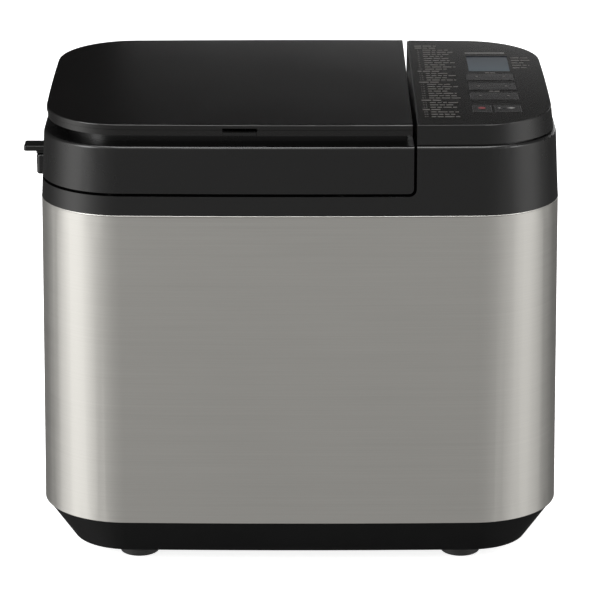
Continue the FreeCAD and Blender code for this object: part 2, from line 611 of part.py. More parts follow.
def make_pan():
    def tub(grow, low, high, deep, name):
        shift = f"(({deep}) * tan(pan_draft))"
        return block((f"oven_x - pan_half_long + {shift} + ({grow})",
                      f"oven_x + pan_half_long - {shift} - ({grow})"),
                     (f"-pan_half_deep + {shift} + ({grow})", f"pan_half_deep - {shift} - ({grow})"),
                     (low, high), f"pan_corner - ({grow})", "pan_draft", name)
    outer = tub("0", "pan_low", "pan_high", "pan_high - pan_low", "PanOuter")
    inner = tub("pan_sheet", "pan_low + pan_sheet", "pan_high + 2", "pan_high - pan_low - pan_sheet",
                "PanInner")
    rim = block(("oven_x - pan_half_long - rim_reach", "oven_x + pan_half_long + rim_reach"),
                ("-pan_half_deep - rim_reach", "pan_half_deep + rim_reach"),
                ("pan_high - rim_high", "pan_high"), "pan_corner + rim_reach", name="PanRim")
    hole = rod(("oven_x", "0", "pan_low - 1"), "bush_radius", "4")
    node(cut(fuse([outer, rim]), [inner, hole]), "bread_pan")
    bore = rod(("oven_x", "0", "bush_low - 1"), "shaft_radius + shaft_play", "bush_high - bush_low + 2")
    bush = rod(("oven_x", "0", "bush_low"), "bush_radius", "bush_high - bush_low")
    web = rod(("oven_x", "0", "pan_low - 2.5"), "skirt_radius", "2.5")
    skirt = tube(("oven_x", "0", "oven_low + oven_sheet + 0.4"), "skirt_radius", "skirt_radius - skirt_sheet",
                 "pan_low - oven_low - oven_sheet - 0.4")
    node(cut(fuse([bush, web, skirt]), [bore]), "pan_base")
    node(tube(("oven_x", "0", "oven_low + oven_sheet"), "seat_radius", "seat_radius - 3", "9"), "pan_seat")
    lugs = []
    for side in (-1, 1):
        low, high = sorted((f"oven_x + {side} * (pan_half_long + rim_reach)",
                            f"oven_x + {side} * (pan_half_long + rim_reach + lug_thick)"), key=number)
        lugs.append(box((low, high), ("-9", "9"), ("pan_high - 12", "pivot_z + 6")))
    holes = rod(("oven_x - pan_half_long - 10", "0", "pivot_z"), "wire_radius + shaft_play",
                "2 * pan_half_long + 20", "X")
    node(cut(fuse(lugs), [holes]), "pan_lugs")


def make_handle():
    inside = "pan_half_long + rim_reach - 0.5"
    route = [(f"oven_x - ({inside})", "0", "pivot_z"), ("oven_x - bail_x", "0", "pivot_z"),
             ("oven_x - bail_x", "bail_reach", "pivot_z"), ("oven_x + bail_x", "bail_reach", "pivot_z"),
             ("oven_x + bail_x", "0", "pivot_z"), (f"oven_x + ({inside})", "0", "pivot_z")]
    node(pipe(route, "wire_radius", "bail_bend"), "pan_handle")
    node(tube(("oven_x - grip_half", "bail_reach", "pivot_z"), "grip_radius", "wire_radius",
              "2 * grip_half", "X"),
         "handle_grip")


def make_blade():
    disc = rod(("oven_x", "0", "coupler_low"), "coupler_radius", "coupler_high - coupler_low")
    pins = mirrored([(1,), (-1,)], lambda side: rod((f"oven_x + {side} * 7.1", f"{side} * 8.4", "pin_low"),
                                                    "pin_radius", "coupler_low - pin_low"))
    shaft = rod(("oven_x", "0", "coupler_low"), "shaft_radius", "hub_high - 2 - coupler_low")
    node(fuse([disc, shaft] + pins), "pan_shaft")
    hub = cut(rod(("oven_x", "0", "hub_low"), "hub_radius", "hub_high - hub_low"),
              [rod(("oven_x", "0", "hub_low - 1"), "shaft_radius", "hub_high - 2 - hub_low + 1")])
    fin = box(("oven_x", "oven_x + blade_reach"), ("-blade_thick / 2", "blade_thick / 2"),
              ("hub_low + 1", "blade_high"))
    sweep = rod(("oven_x + hub_radius - 2", "-blade_thick", "hub_low + 6"), "blade_reach - hub_radius + 2",
                "2 * blade_thick", "Y")
    wing = cut(common([fin, sweep]), [rod(("oven_x", "0", "hub_low - 1"), "shaft_radius",
                                          "hub_high - 1 - hub_low")])
    node(fuse([hub, wing]), "kneading_blade")


# ---------------------------------------------------------------- lid

def make_lid_shell():
    deep = ("-body_depth", "body_depth")
    keep = box(("-body_width", "lid_right"), deep, ("lid_low", "ledge + 1"))
    outside = cut(common([upper_form(), keep]), [inside_corner("lid_right", "lid_low", "lid_corner")])
    hollow = common([form("lid_low - 1", "ledge - lid_wall", "lid_wall + 1.5"),
                     box(("-body_width", "lid_right - lid_wall"), deep, ("lid_low - 1", "ledge"))])
    neck_keep = box(("-body_width", "neck_right"), ("-body_depth", "neck_back"), ("ledge - 1", "neck_high"))
    neck = common([form("ledge - 1", "neck_high", "neck_inset"), neck_keep])
    neck_hollow = common([form("ledge - 4", "neck_high - lid_wall", "neck_inset + lid_wall"),
                          box(("-body_width", "neck_right - lid_wall"),
                              ("-body_depth", "neck_back - lid_wall"),
                              ("ledge - 4", "neck_high"))])
    wells = [box(("tray_left", "tray_right"), ("tray_front", "tray_back"),
                 ("neck_high - 5", "neck_high + 1")),
             rod(("cup_x", "cup_y", "neck_high - 5"), "cup_radius", "8")]
    wells += [box(("-166", "-150"), (f"{i} * 6 + 23", f"{i} * 6 + 26"), ("neck_high - 5", "neck_high + 1"))
              for i in range(9)]
    notches = []
    bosses = []
    for left in LID_KNUCKLES:
        notches.append(box((f"{left} - notch_play", f"{left} + knuckle_long + notch_play"),
                           ("hinge_y - knuckle_radius - 0.5", "body_depth"),
                           ("lid_low - 1", "hinge_z + knuckle_radius + 0.5")))
        for start in (f"{left} - notch_play - boss_long", f"{left} + knuckle_long + notch_play"):
            bosses.append(box((start, f"{start} + boss_long"), ("hinge_y - 4", "hinge_y + 3.2"),
                              ("hinge_z - 5", "ledge - 2")))
    pins = [rod((f"{left} - boss_long", "hinge_y", "hinge_z"), "hinge_pin", "knuckle_long + 2 * boss_long",
                "X")
            for left in LID_KNUCKLES]
    lugs = []
    plate_pins = []
    for left in PLATE_BARRELS:
        for start in (f"{left} - 4.4", f"{left} + barrel_long + 0.4"):
            span = (start, f"{start} + 4")
            lugs.append(box(span, ("neck_back - 4", "plate_pivot_y"),
                            ("neck_high - 6", "plate_pivot_z + barrel_radius - 1")))
            lugs.append(rod((start, "plate_pivot_y", "plate_pivot_z"), "barrel_radius - 0.5", "4", "X"))
        plate_pins.append(rod((f"{left} - 6", "plate_pivot_y", "plate_pivot_z"), "plate_pin + shaft_play",
                              "barrel_long + 12", "X"))
    solid = fuse([cut(outside, [hollow]), neck])
    hollowed = cut(solid, [neck_hollow] + wells + notches)
    node(cut(fuse([hollowed] + bosses + lugs), pins + plate_pins), "lid_shell")


def make_lid_fittings():
    pins = [rod((f"{left} - boss_long + 0.5", "hinge_y", "hinge_z"), "hinge_pin",
                "knuckle_long + 2 * boss_long - 1", "X")
            for left in LID_KNUCKLES]
    node(fuse(pins), "lid_hinge_pins")
    tab = block(("-tab_reach", "-body_width / 2 + 8"), ("-tab_half", "tab_half"), ("tab_low", "tab_high"),
                "2")
    root = box(("-grip_reach", "-body_width / 2 + 8"), ("-tab_half + 1", "tab_half - 1"),
               ("lid_low + 0.3", "tab_low + 0.5"))
    node(cut(fuse([tab, root]), [upper_form()]), "lid_tab")
    gasket_low, gasket_high = "deck_high + 0.5", "lid_low + 0.3"
    gasket = cut(oven_tub("8", gasket_low, gasket_high), [oven_tub("3", "deck_high - 1", "lid_low + 1")])
    node(gasket, "lid_gasket")
    cover = common([form("lid_low + 0.3", "lid_low + 1.3", "lid_wall + 1.8"),
                    box(("-body_width", "lid_right - lid_wall - 1.6"), ("-body_depth", "hinge_y - 7"),
                        ("lid_low", "lid_low + 2"))])
    chutes = [box(("tray_left - 0.5", "tray_right + 0.5"), ("tray_front - 0.5", "tray_back + 3"),
                  ("lid_low", "lid_low + 2")),
              box(("cup_x - 19", "cup_x + 19"), ("cup_y - 19", "cup_y + 19"), ("lid_low", "lid_low + 2"))]
    slots = [box((f"{i} * 7 - 164", f"{i} * 7 - 160"), ("20", "80"),
                 ("lid_low", "lid_low + 2")) for i in range(3)]
    node(cut(cover, chutes + slots), "lid_inner_cover")
    heads = mirrored([(-140, -107), (-150, 106), (30, -107), (62, 106), (-183, 0), (68, 0)], lambda x, y: rod(
        (x, y, "lid_low - 0.6"), "3", "0.9"))
    node(fuse(heads), "cover_screws")


def make_tray():
    wall = "tray_wall"
    outer = box(("tray_left", "tray_right"), ("tray_front", "tray_back"), ("flap_high + 1.2", "neck_high"))
    inner = box((f"tray_left + {wall}", f"tray_right - {wall}"),
                (f"tray_front + {wall}", f"tray_back - {wall}"),
                ("flap_high", "neck_high + 2"))
    rim = cut(box(("tray_left - 2.5", "tray_right + 2.5"), ("tray_front - 2.5", "tray_back + 2.5"),
                  ("neck_high", "neck_high + 0.7")), [inner])
    ears = [box((start, f"{start} + {wall}"), ("tray_back - 7", "tray_back + 2"),
                ("lid_low - 0.4", "flap_high + 3"))
            for start in ("tray_left", "tray_right - tray_wall")]
    bore = rod(("tray_left - 1", "tray_back - 2", "(flap_low + flap_high) / 2"), "flap_pin + shaft_play",
               "tray_right - tray_left + 2", "X")
    node(cut(fuse([cut(outer, [inner]), rim] + ears), [bore]), "fruit_tray")
    leaf = box((f"tray_left + {wall} + 0.4", f"tray_right - {wall} - 0.4"), ("tray_front", "tray_back - 1"),
               ("flap_low", "flap_high"))
    pins = [rod((start, "tray_back - 2", "(flap_low + flap_high) / 2"), "flap_pin", f"{wall} + 0.2", "X")
            for start in ("tray_left + 0.2", "tray_right - tray_wall - 0.4")]
    node(fuse([leaf] + pins), "fruit_flap")


def make_cup():
    body = cone(("cup_x", "cup_y", "308"), "spout_radius + 2", "cup_radius - 0.2", "neck_high - 308")
    hollow = cone(("cup_x", "cup_y", "308"), "spout_radius", "cup_radius - 2.2", "neck_high - 307.99")
    spout = tube(("cup_x", "cup_y", "flap_high + 1.2"), "spout_radius + 2", "spout_radius",
                 "308 - flap_high - 1.2")
    rim = tube(("cup_x", "cup_y", "neck_high"), "cup_radius + 2.5", "cup_radius - 2.2", "0.7")
    ears = [box((f"cup_x + {start}", f"cup_x + {start} + 1.8"), ("cup_y + 11", "cup_y + 17"),
                ("lid_low - 0.2", "308"))
            for start in ("-16.2", "14.4")]
    bridge = box(("cup_x - 16.2", "cup_x + 16.2"), ("cup_y + 11", "cup_y + 13"), ("305", "308"))
    bore = rod(("cup_x - 17.5", "cup_y + 14.5", "(flap_low + flap_high) / 2"), "flap_pin + shaft_play",
               "35", "X")
    clear = rod(("cup_x", "cup_y", "flap_low"), "spout_radius", "40")
    shell = fuse([cut(body, [hollow]), spout, rim] + ears + [cut(bridge, [clear])])
    node(cut(shell, [bore]), "yeast_cup")
    leaf = box(("cup_x - 14", "cup_x + 14"), ("cup_y - 13.8", "cup_y + 15.4"), ("flap_low", "flap_high"))
    pins = [rod((f"cup_x + {start}", "cup_y + 14.5", "(flap_low + flap_high) / 2"), "flap_pin", "2.2", "X")
            for start in ("-16", "13.8")]
    node(fuse([leaf] + pins), "yeast_flap")


def make_solenoids():
    cans = [box(("-80", "-58"), ("46", "62"), ("306", "322")),
            box(("22", "40"), ("-6", "10"), ("306", "322"))]
    plungers = [rod(("-69", "40.5", "314"), "2.5", "6", "Y"), rod(("20.5", "2", "316"), "2", "2", "X")]
    seats = [box(("-84", "-54"), ("46", "62"), ("lid_low + 1.3", "306")),
             box(("21", "44"), ("-8", "12"), ("lid_low + 1.3", "306"))]
    node(fuse(cans + plungers + seats), "flap_solenoids")


# ---------------------------------------------------------------- dispenser plate

def make_plate():
    deep = ("-body_depth", "body_depth")
    left_part = box(("-body_width", "plate_right"), deep, ("band_low", "plate_high"))
    top = form("groove_high", "plate_high", "plate_inset", top_round="0.8")
    groove = form("band_high", "groove_high", "plate_inset + 1.6")
    band = form("band_low", "band_high", "plate_inset + 0.7")
    hollow = common([form("band_low - 1", "band_high", "plate_inset + 4"),
                     box(("-body_width", "plate_right - 3"), deep, ("band_low - 1", "band_high"))])
    slot = box(("catch_x - catch_half", "catch_x + catch_half"), ("-body_depth", "-112"),
               ("band_high - 1.2", "band_high + 1.6"))
    pocket = box(("catch_x - catch_half + 0.3", "catch_x + catch_half - 0.3"), ("-body_depth", "-106"),
                 ("band_low - 1", "catch_high + 0.4"))
    plate = sloped(cut(common([fuse([top, groove, band]), left_part]), [hollow, slot, pocket]))
    barrels = []
    for left in PLATE_BARRELS:
        barrels.append(rod((left, "plate_pivot_y", "plate_pivot_z"), "barrel_radius", "barrel_long", "X"))
        barrels.append(box((left, f"{left} + barrel_long"),
                           ("plate_pivot_y - barrel_radius", "plate_pivot_y + barrel_radius"),
                           ("plate_pivot_z", "plate_high + 7.2")))
    pins = [rod((left, "plate_pivot_y", "plate_pivot_z"), "plate_pin", "barrel_long",
                "X") for left in PLATE_BARRELS]
    node(cut(fuse([plate] + barrels), pins), "dispenser_plate")
    pins = [rod((f"{left} - 4", "plate_pivot_y", "plate_pivot_z"), "plate_pin", "barrel_long + 8",
                "X") for left in PLATE_BARRELS]
    node(fuse(pins), "plate_hinge_pins")
    ring = cut(block(("tray_left - 7", "cup_x + 28"), ("tray_front - 14", "tray_back + 7"),
                     ("338.45", "band_high"), "8"),
               [block(("tray_left - 4", "cup_x + 25"), ("tray_front - 11", "tray_back + 4"),
                      ("337", "band_high"), "5")])
    node(sloped(ring), "dispenser_gasket")
    key = box(("catch_x - catch_half + 0.8", "catch_x + catch_half - 0.8"), ("-119.6", "-109"),
              ("catch_low", "catch_high"))
    node(sloped(key), "plate_catch")


# ---------------------------------------------------------------- control panel

# Three wide rocker keys, each with a contact under both ends, and two push keys in front of them.
KEYS = (
    ("rocker_timer", ("key_left", "key_right"), "9.7"),
    ("rocker_menu", ("key_left", "key_right"), "-17.0"),
    ("rocker_size", ("key_left", "key_right"), "-43.0"),
    ("key_stop", ("key_left", "key_left + 14"), "-76.6"),
    ("key_start", ("key_left + 16.4", "key_right"), "-76.6"),
)


def contact_places(label, low, high):
    """X of the contacts under a key: one at each end of a rocker, one under a push key."""
    middle = f"(({low}) + ({high})) / 2"
    return [f"{middle} - 14", f"{middle} + 14"] if label.startswith("rocker") else [middle]


def make_panel():
    deep = ("-body_depth", "body_depth")
    block_form = form("ledge - 14", "plate_high - overlay", "panel_inset", "panel_draft", "0.6")
    right_part = box(("block_left", "body_width"), deep, ("ledge - 20", "plate_high + 10"))
    hollow = common([form("ledge - 15", "plate_high - wall - overlay", "panel_inset + wall", "panel_draft"),
                     box(("block_left + wall", "body_width"), deep, ("ledge - 20", "plate_high"))])
    holes = [box(("glass_left", "glass_right"), ("glass_front", "glass_back"),
                 ("plate_high - 10", "plate_high + 1"))]
    for _, (low, high), centre in KEYS:
        holes.append(box((f"{low} - key_gap", f"{high} + key_gap"),
                         (f"{centre} - key_deep / 2 - key_gap", f"{centre} + key_deep / 2 + key_gap"),
                         ("plate_high - 10", "plate_high + 1")))
    raw = sloped(cut(common([block_form, right_part]), [hollow] + holes))
    everywhere = ("-body_width", "body_width")
    seam = cut(box(everywhere, deep, ("ledge - 1", "ledge + seam_high")),
               [form("ledge - 2", "ledge + seam_high + 1", "seam_inset")])
    node(cut(raw, [box(everywhere, deep, ("ledge - 30", "ledge")), seam]), "panel_cover")
    film = common([form("plate_high - overlay", "plate_high", "panel_inset + 3.9"),
                   box(("block_left + 1.2", "body_width"), deep, ("plate_high - 1", "plate_high + 1"))])
    node(sloped(cut(film, holes)), "panel_overlay")


def make_keys():
    for label, (low, high), centre in KEYS:
        front, back = f"{centre} - key_deep / 2", f"{centre} + key_deep / 2"
        cap = box((low, high), (front, back), ("plate_high - 3.4", "plate_high + key_proud"))
        stems = [rod((x, centre, "plate_high - 8"), "2", "5") for x in contact_places(label, low, high)]
        node(sloped(fuse([cap] + stems)), label)


def make_display():
    glass = box(("glass_left", "glass_right"), ("glass_front", "glass_back"),
                ("plate_high - 2", "plate_high - 0.3"))
    module = box(("glass_left + 0.5", "glass_right + 2"), ("glass_front - 2", "glass_back + 2"),
                 ("plate_high - 9", "plate_high - 3.4"))
    board = block(("104", "169"), ("-97", "78"), ("plate_high - 13.6", "plate_high - 12"), "4")
    switches = [box((f"{x} - 3", f"{x} + 3"), (f"{centre} - 3", f"{centre} + 3"),
                    ("plate_high - 12", "plate_high - 8.9"))
                for label, (low, high), centre in KEYS for x in contact_places(label, low, high)]
    stand = box(("140", "156"), ("40", "56"), ("plate_high - 12", "plate_high - 9"))
    node(sloped(glass), "display_window")
    node(sloped(fuse([module, board, stand] + switches)), "control_board")


def make_screws():
    heads = mirrored(SIX, lambda i, j: rod(
        (f"{i} * post_x", f"{j} * (post_y + 12 * (1 - abs({i})))", "chassis_high"), "4", "2.2"))
    node(fuse(heads), "chassis_screws")


def export():
    doc.recompute()
    for obj in doc.Objects:
        if "Invalid" in obj.State or "Error" in obj.State:
            raise RuntimeError(f"{obj.Label}: {obj.State}")
    os.makedirs("parts", exist_ok=True)
    for part in NODES:
        if part.Shape.isNull() or not part.Shape.isValid() or part.Shape.Volume <= 0:
            raise RuntimeError(f"{part.Label} has no valid shape")
    for part in NODES:
        placed = part.Shape.copy()
        placed.translate(FreeCAD.Vector(-DIMS["middle_x"], -DIMS["middle_y"], 0))
        placed.exportStep(f"parts/{part.Label}.step")
        print(f"{part.Label}: {len(part.Shape.Solids)} solid(s), {part.Shape.Volume / 1000:.1f} cm3")


for build in (make_base, make_feet, make_sleeve, make_cord_gland, make_top_frame, make_side_grip,
              make_chamber,
              make_heater, make_sensors, make_chassis, make_drive, make_motor, make_electrics,
              make_pan, make_handle, make_blade, make_lid_shell, make_lid_fittings, make_tray, make_cup,
              make_solenoids, make_plate, make_panel, make_keys, make_display, make_screws):
    build()
export()
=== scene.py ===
import json
import math
import random

import bmesh
import bpy
from mathutils import Matrix, Vector, geometry


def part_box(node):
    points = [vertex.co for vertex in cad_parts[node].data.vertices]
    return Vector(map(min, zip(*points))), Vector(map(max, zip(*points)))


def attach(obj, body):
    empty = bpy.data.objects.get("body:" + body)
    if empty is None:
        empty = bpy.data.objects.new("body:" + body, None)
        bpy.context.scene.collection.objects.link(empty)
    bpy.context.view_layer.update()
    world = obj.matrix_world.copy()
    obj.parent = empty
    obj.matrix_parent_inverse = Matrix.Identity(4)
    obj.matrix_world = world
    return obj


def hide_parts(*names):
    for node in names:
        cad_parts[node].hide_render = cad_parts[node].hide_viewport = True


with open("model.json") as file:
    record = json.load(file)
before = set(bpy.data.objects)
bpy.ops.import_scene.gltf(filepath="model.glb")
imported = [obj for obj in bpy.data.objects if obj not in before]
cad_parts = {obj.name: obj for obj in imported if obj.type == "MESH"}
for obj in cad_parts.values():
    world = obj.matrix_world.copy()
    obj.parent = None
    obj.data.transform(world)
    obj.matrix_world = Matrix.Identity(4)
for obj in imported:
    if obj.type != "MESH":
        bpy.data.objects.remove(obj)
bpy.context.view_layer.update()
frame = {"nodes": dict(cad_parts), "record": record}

MM = 0.001
# The middle of the body, from the middle of the whole.
BODY_X = 7.2 * MM
BODY_Y = -2.5 * MM
NODES = frame["nodes"]
RECORD = frame["record"]
BODY_OF = {node: body for body, nodes in RECORD["behaviour"]["bodies"].items() for node in nodes}
SLOT_OF = {node: NODES[node].data.materials[0].name.split(".")[0] for node in NODES}

# The top plate and the control panel slope up to the rear.
TOP_SLOPE = math.radians(2.41)

# Vertices nearer than WELD are one, faces flatter than FLAT_ANGLE are joined, and edges sharper than
# SHARP_ANGLE are rounded.
WELD = 0.005 * MM
FLAT_ANGLE = math.radians(0.35)
SHARP_ANGLE = math.radians(28)
# Edges rounded more than this many millimetres get more segments.
WIDE_EDGE = 1.0

# How far the roughness of a finish varies to either side of its middle.
PLASTIC_SWING = 0.05
METAL_SWING = 0.06
COATING_SWING = 0.07
FLECK_GREY = (0.34, 0.34, 0.35, 1.0)


# ---------------------------------------------------------------- shader building

def socket(group, name, way, kind, value=None):
    """A named input or output on a node group."""
    made = group.interface.new_socket(name=name, in_out=way, socket_type="NodeSocket" + kind)
    if value is not None:
        made.default_value = value


def add(tree, kind, inputs=None, **settings):
    """A node with its settings and its inputs; an input is a value or an output socket to link."""
    node = tree.nodes.new(kind)
    for name, value in settings.items():
        setattr(node, name, value)
    for name, value in (inputs or {}).items():
        if isinstance(value, bpy.types.NodeSocket):
            tree.links.new(value, node.inputs[name])
        else:
            node.inputs[name].default_value = value
    return node


def maths(tree, operation, first, second=None):
    """The output of one Math node."""
    inputs = {0: first} if second is None else {0: first, 1: second}
    return add(tree, "ShaderNodeMath", inputs, operation=operation).outputs[0]


def new_group(name, inputs, outputs):
    """A shader node group with float inputs, and its input and output nodes."""
    group = bpy.data.node_groups.new(name, "ShaderNodeTree")
    for title, value in inputs.items():
        socket(group, title, "INPUT", "Float", value)
    for title in outputs:
        socket(group, title, "OUTPUT", "Float")
    return group, group.nodes.new("NodeGroupInput"), group.nodes.new("NodeGroupOutput")


def scaled_place(tree, along, across, depth):
    """Object coordinates stretched by three factors."""
    place = add(tree, "ShaderNodeTexCoord").outputs["Object"]
    factors = add(tree, "ShaderNodeCombineXYZ", {"X": along, "Y": across, "Z": depth}).outputs[0]
    return add(tree, "ShaderNodeVectorMath", {0: place, 1: factors}, operation="MULTIPLY").outputs[0]


def make_brushing():
    """Long level scratches: Tone is about 0.5 with fine streaks, Height is for a bump."""
    group, given, out = new_group("level_brushing", {"Along": 4.0, "Lines": 900.0, "Contrast": 1.0},
                                  ("Tone", "Height"))
    long_streaks = scaled_place(group, given.outputs["Along"], given.outputs["Along"], given.outputs["Lines"])
    coarse = add(group, "ShaderNodeTexNoise", {"Vector": long_streaks, "Scale": 1.0, "Detail": 4.0,
                                               "Roughness": 0.65}).outputs["Fac"]
    short_along = maths(group, "MULTIPLY", given.outputs["Along"], 6.0)
    short_lines = maths(group, "MULTIPLY", given.outputs["Lines"], 2.6)
    short_streaks = scaled_place(group, short_along, short_along, short_lines)
    fine = add(group, "ShaderNodeTexNoise", {"Vector": short_streaks, "Scale": 1.0, "Detail": 2.0,
                                             "Roughness": 0.5}).outputs["Fac"]
    both = maths(group, "ADD", maths(group, "MULTIPLY", coarse, 0.6), maths(group, "MULTIPLY", fine, 0.4))
    centred = maths(group, "MULTIPLY", maths(group, "SUBTRACT", both, 0.5), given.outputs["Contrast"])
    group.links.new(maths(group, "ADD", centred, 0.5), out.inputs["Tone"])
    group.links.new(both, out.inputs["Height"])
    return group


def make_grain():
    """The fine pebbled texture of moulded plastic."""
    group, given, out = new_group("moulded_grain", {"Scale": 1500.0, "Depth": 1.0}, ("Tone", "Height"))
    place = add(group, "ShaderNodeTexCoord").outputs["Object"]
    pebbles = add(group, "ShaderNodeTexVoronoi", {"Vector": place, "Scale": given.outputs["Scale"]},
                  feature="SMOOTH_F1").outputs["Distance"]
    finer = maths(group, "MULTIPLY", given.outputs["Scale"], 0.45)
    rolling = add(group, "ShaderNodeTexNoise", {"Vector": place, "Scale": finer, "Detail": 3.0}).outputs["Fac"]
    height = maths(group, "ADD", pebbles, rolling)
    group.links.new(maths(group, "MULTIPLY", height, given.outputs["Depth"]), out.inputs["Height"])
    group.links.new(rolling, out.inputs["Tone"])
    return group


def make_handling():
    """Broad soft patches where a surface has been wiped and handled."""
    group, given, out = new_group("handling", {"Size": 14.0, "Spread": 1.0}, ("Patch", "Fleck"))
    place = add(group, "ShaderNodeTexCoord").outputs["Object"]
    patch = add(group, "ShaderNodeTexNoise", {"Vector": place, "Scale": given.outputs["Size"], "Detail": 5.0,
                                              "Roughness": 0.6, "Distortion": 0.4}).outputs["Fac"]
    centred = maths(group, "MULTIPLY", maths(group, "SUBTRACT", patch, 0.5), given.outputs["Spread"])
    speck = add(group, "ShaderNodeTexNoise", {"Vector": place, "Scale": 2200.0, "Detail": 1.0}).outputs["Fac"]
    flecks = add(group, "ShaderNodeMapRange", {"Value": speck, "From Min": 0.66, "From Max": 0.74}).outputs[0]
    group.links.new(maths(group, "ADD", centred, 0.5), out.inputs["Patch"])
    group.links.new(flecks, out.inputs["Fleck"])
    return group


BRUSHING = make_brushing()
GRAIN = make_grain()
HANDLING = make_handling()


def use(tree, group, **values):
    """A group node in a material with its own values."""
    node = tree.nodes.new("ShaderNodeGroup")
    node.node_tree = group
    for name, value in values.items():
        node.inputs[name].default_value = value
    return node


def new_material(name):
    """An empty material with its tree and its Principled shader."""
    material = bpy.data.materials.new(name)
    material.use_nodes = True
    tree = material.node_tree
    tree.nodes.clear()
    shader = tree.nodes.new("ShaderNodeBsdfPrincipled")
    out = tree.nodes.new("ShaderNodeOutputMaterial")
    tree.links.new(shader.outputs[0], out.inputs["Surface"])
    return material, tree, shader


def between(tree, value, low, high):
    """A value of 0 to 1 spread over low to high."""
    return add(tree, "ShaderNodeMapRange", {"Value": value, "To Min": low, "To Max": high}).outputs[0]


def tinted(tree, value, dark, light):
    """A colour between dark and light, following a value of 0 to 1."""
    mix = add(tree, "ShaderNodeMix", {0: value}, data_type="RGBA")
    mix.inputs[6].default_value = (*dark, 1.0)
    mix.inputs[7].default_value = (*light, 1.0)
    return mix.outputs[2]


def bump(tree, shader, height, distance):
    """A bump of full strength on the shader's normal."""
    node = add(tree, "ShaderNodeBump", {"Height": height, "Distance": distance, "Strength": 1.0})
    tree.links.new(node.outputs[0], shader.inputs["Normal"])


def plastic(slot, colour, rough, grain=1500.0, depth=0.01, swing=PLASTIC_SWING, specular=0.5):
    """Moulded plastic or rubber: a grain of the given depth in mm, patches of wear and an uneven colour."""
    material, tree, shader = new_material(slot)
    moulded = use(tree, GRAIN, Scale=grain)
    patches = use(tree, HANDLING, Spread=0.5)
    dark = tuple(c * 0.86 for c in colour)
    light = tuple(c * 1.14 for c in colour)
    tone = maths(tree, "ADD", maths(tree, "MULTIPLY", patches.outputs["Patch"], 0.6),
                 maths(tree, "MULTIPLY", moulded.outputs["Tone"], 0.4))
    tree.links.new(tinted(tree, tone, dark, light), shader.inputs["Base Color"])
    tree.links.new(between(tree, patches.outputs["Patch"], rough - swing, rough + swing),
                   shader.inputs["Roughness"])
    shader.inputs["Specular IOR Level"].default_value = specular
    bump(tree, shader, moulded.outputs["Height"], depth * MM)
    return material


def metal(slot, colour, rough, lines=500.0, depth=0.006):
    """Bare metal with drawn or machined lines of the given depth in mm."""
    material, tree, shader = new_material(slot)
    drawn = use(tree, BRUSHING, Lines=lines)
    patches = use(tree, HANDLING, Spread=1.0)
    dark = tuple(c * 0.82 for c in colour)
    light = tuple(min(1.0, c * 1.16) for c in colour)
    tree.links.new(tinted(tree, drawn.outputs["Tone"], dark, light), shader.inputs["Base Color"])
    tree.links.new(between(tree, patches.outputs["Patch"], rough - METAL_SWING, rough + METAL_SWING),
                   shader.inputs["Roughness"])
    shader.inputs["Metallic"].default_value = 1.0
    bump(tree, shader, drawn.outputs["Height"], depth * MM)
    return material


def coated(slot, dark, light, rough, specks, depth):
    """A coating over metal: a fine orange-peel of the given depth in mm, with lighter specks."""
    material, tree, shader = new_material(slot)
    peel = use(tree, GRAIN, Scale=700.0)
    patches = use(tree, HANDLING, Spread=1.4)
    base = tinted(tree, patches.outputs["Patch"], dark, light)
    fleck = add(tree, "ShaderNodeMix", {0: maths(tree, "MULTIPLY", patches.outputs["Fleck"], specks)},
                data_type="RGBA")
    tree.links.new(base, fleck.inputs[6])
    fleck.inputs[7].default_value = FLECK_GREY
    tree.links.new(fleck.outputs[2], shader.inputs["Base Color"])
    tree.links.new(between(tree, patches.outputs["Patch"], rough - COATING_SWING, rough + COATING_SWING),
                   shader.inputs["Roughness"])
    shader.inputs["Metallic"].default_value = 0.35
    bump(tree, shader, peel.outputs["Height"], depth * MM)
    return material


def make_display_glass():
    """A bluish grey display under its window, with painted light: its colour is painted lighter towards the
    front and darker towards the rear.
    """
    material, tree, shader = new_material("display_glass")
    low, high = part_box("display_window")
    place = add(tree, "ShaderNodeTexCoord").outputs["Object"]
    along = add(tree, "ShaderNodeSeparateXYZ", {0: place}).outputs["Y"]
    # How far back a point lies in the window; this sets the painted light, lighter at the front and darker at
    # the rear.
    painted_light_share = add(tree, "ShaderNodeMapRange",
                {"Value": along, "From Min": low.y, "From Max": high.y}).outputs[0]
    patches = use(tree, HANDLING, Spread=0.5)
    # Mostly the painted light gradient, with a little random tone from the patches.
    painted_light_and_patches = maths(tree, "ADD", maths(tree, "MULTIPLY", painted_light_share, 0.85),
                  maths(tree, "MULTIPLY", patches.outputs["Patch"], 0.15))
    # Painted light: the first colour is the lighter front of the window, the second the darker rear.
    tree.links.new(tinted(tree, painted_light_and_patches, (0.034, 0.048, 0.058), (0.017, 0.019, 0.024)),
                   shader.inputs["Base Color"])
    tree.links.new(between(tree, patches.outputs["Patch"], 0.26, 0.32), shader.inputs["Roughness"])
    shader.inputs["Specular IOR Level"].default_value = 0.25
    return material


def make_brushed_steel():
    """Stainless steel brushed level round the body."""
    material, tree, shader = new_material("brushed_steel")
    brushed = use(tree, BRUSHING, Along=3.0, Lines=1500.0, Contrast=1.0)
    patches = use(tree, HANDLING, Size=6.0, Spread=0.8)
    tone = maths(tree, "ADD", maths(tree, "MULTIPLY", brushed.outputs["Tone"], 0.8),
                 maths(tree, "MULTIPLY", patches.outputs["Patch"], 0.2))
    tree.links.new(tinted(tree, tone, (0.5, 0.49, 0.465), (0.7, 0.69, 0.66)), shader.inputs["Base Color"])
    tree.links.new(between(tree, brushed.outputs["Tone"], 0.26, 0.42), shader.inputs["Roughness"])
    shader.inputs["Metallic"].default_value = 1.0
    shader.inputs["Anisotropic"].default_value = 0.6
    bump(tree, shader, brushed.outputs["Height"], 0.01 * MM)
    return material


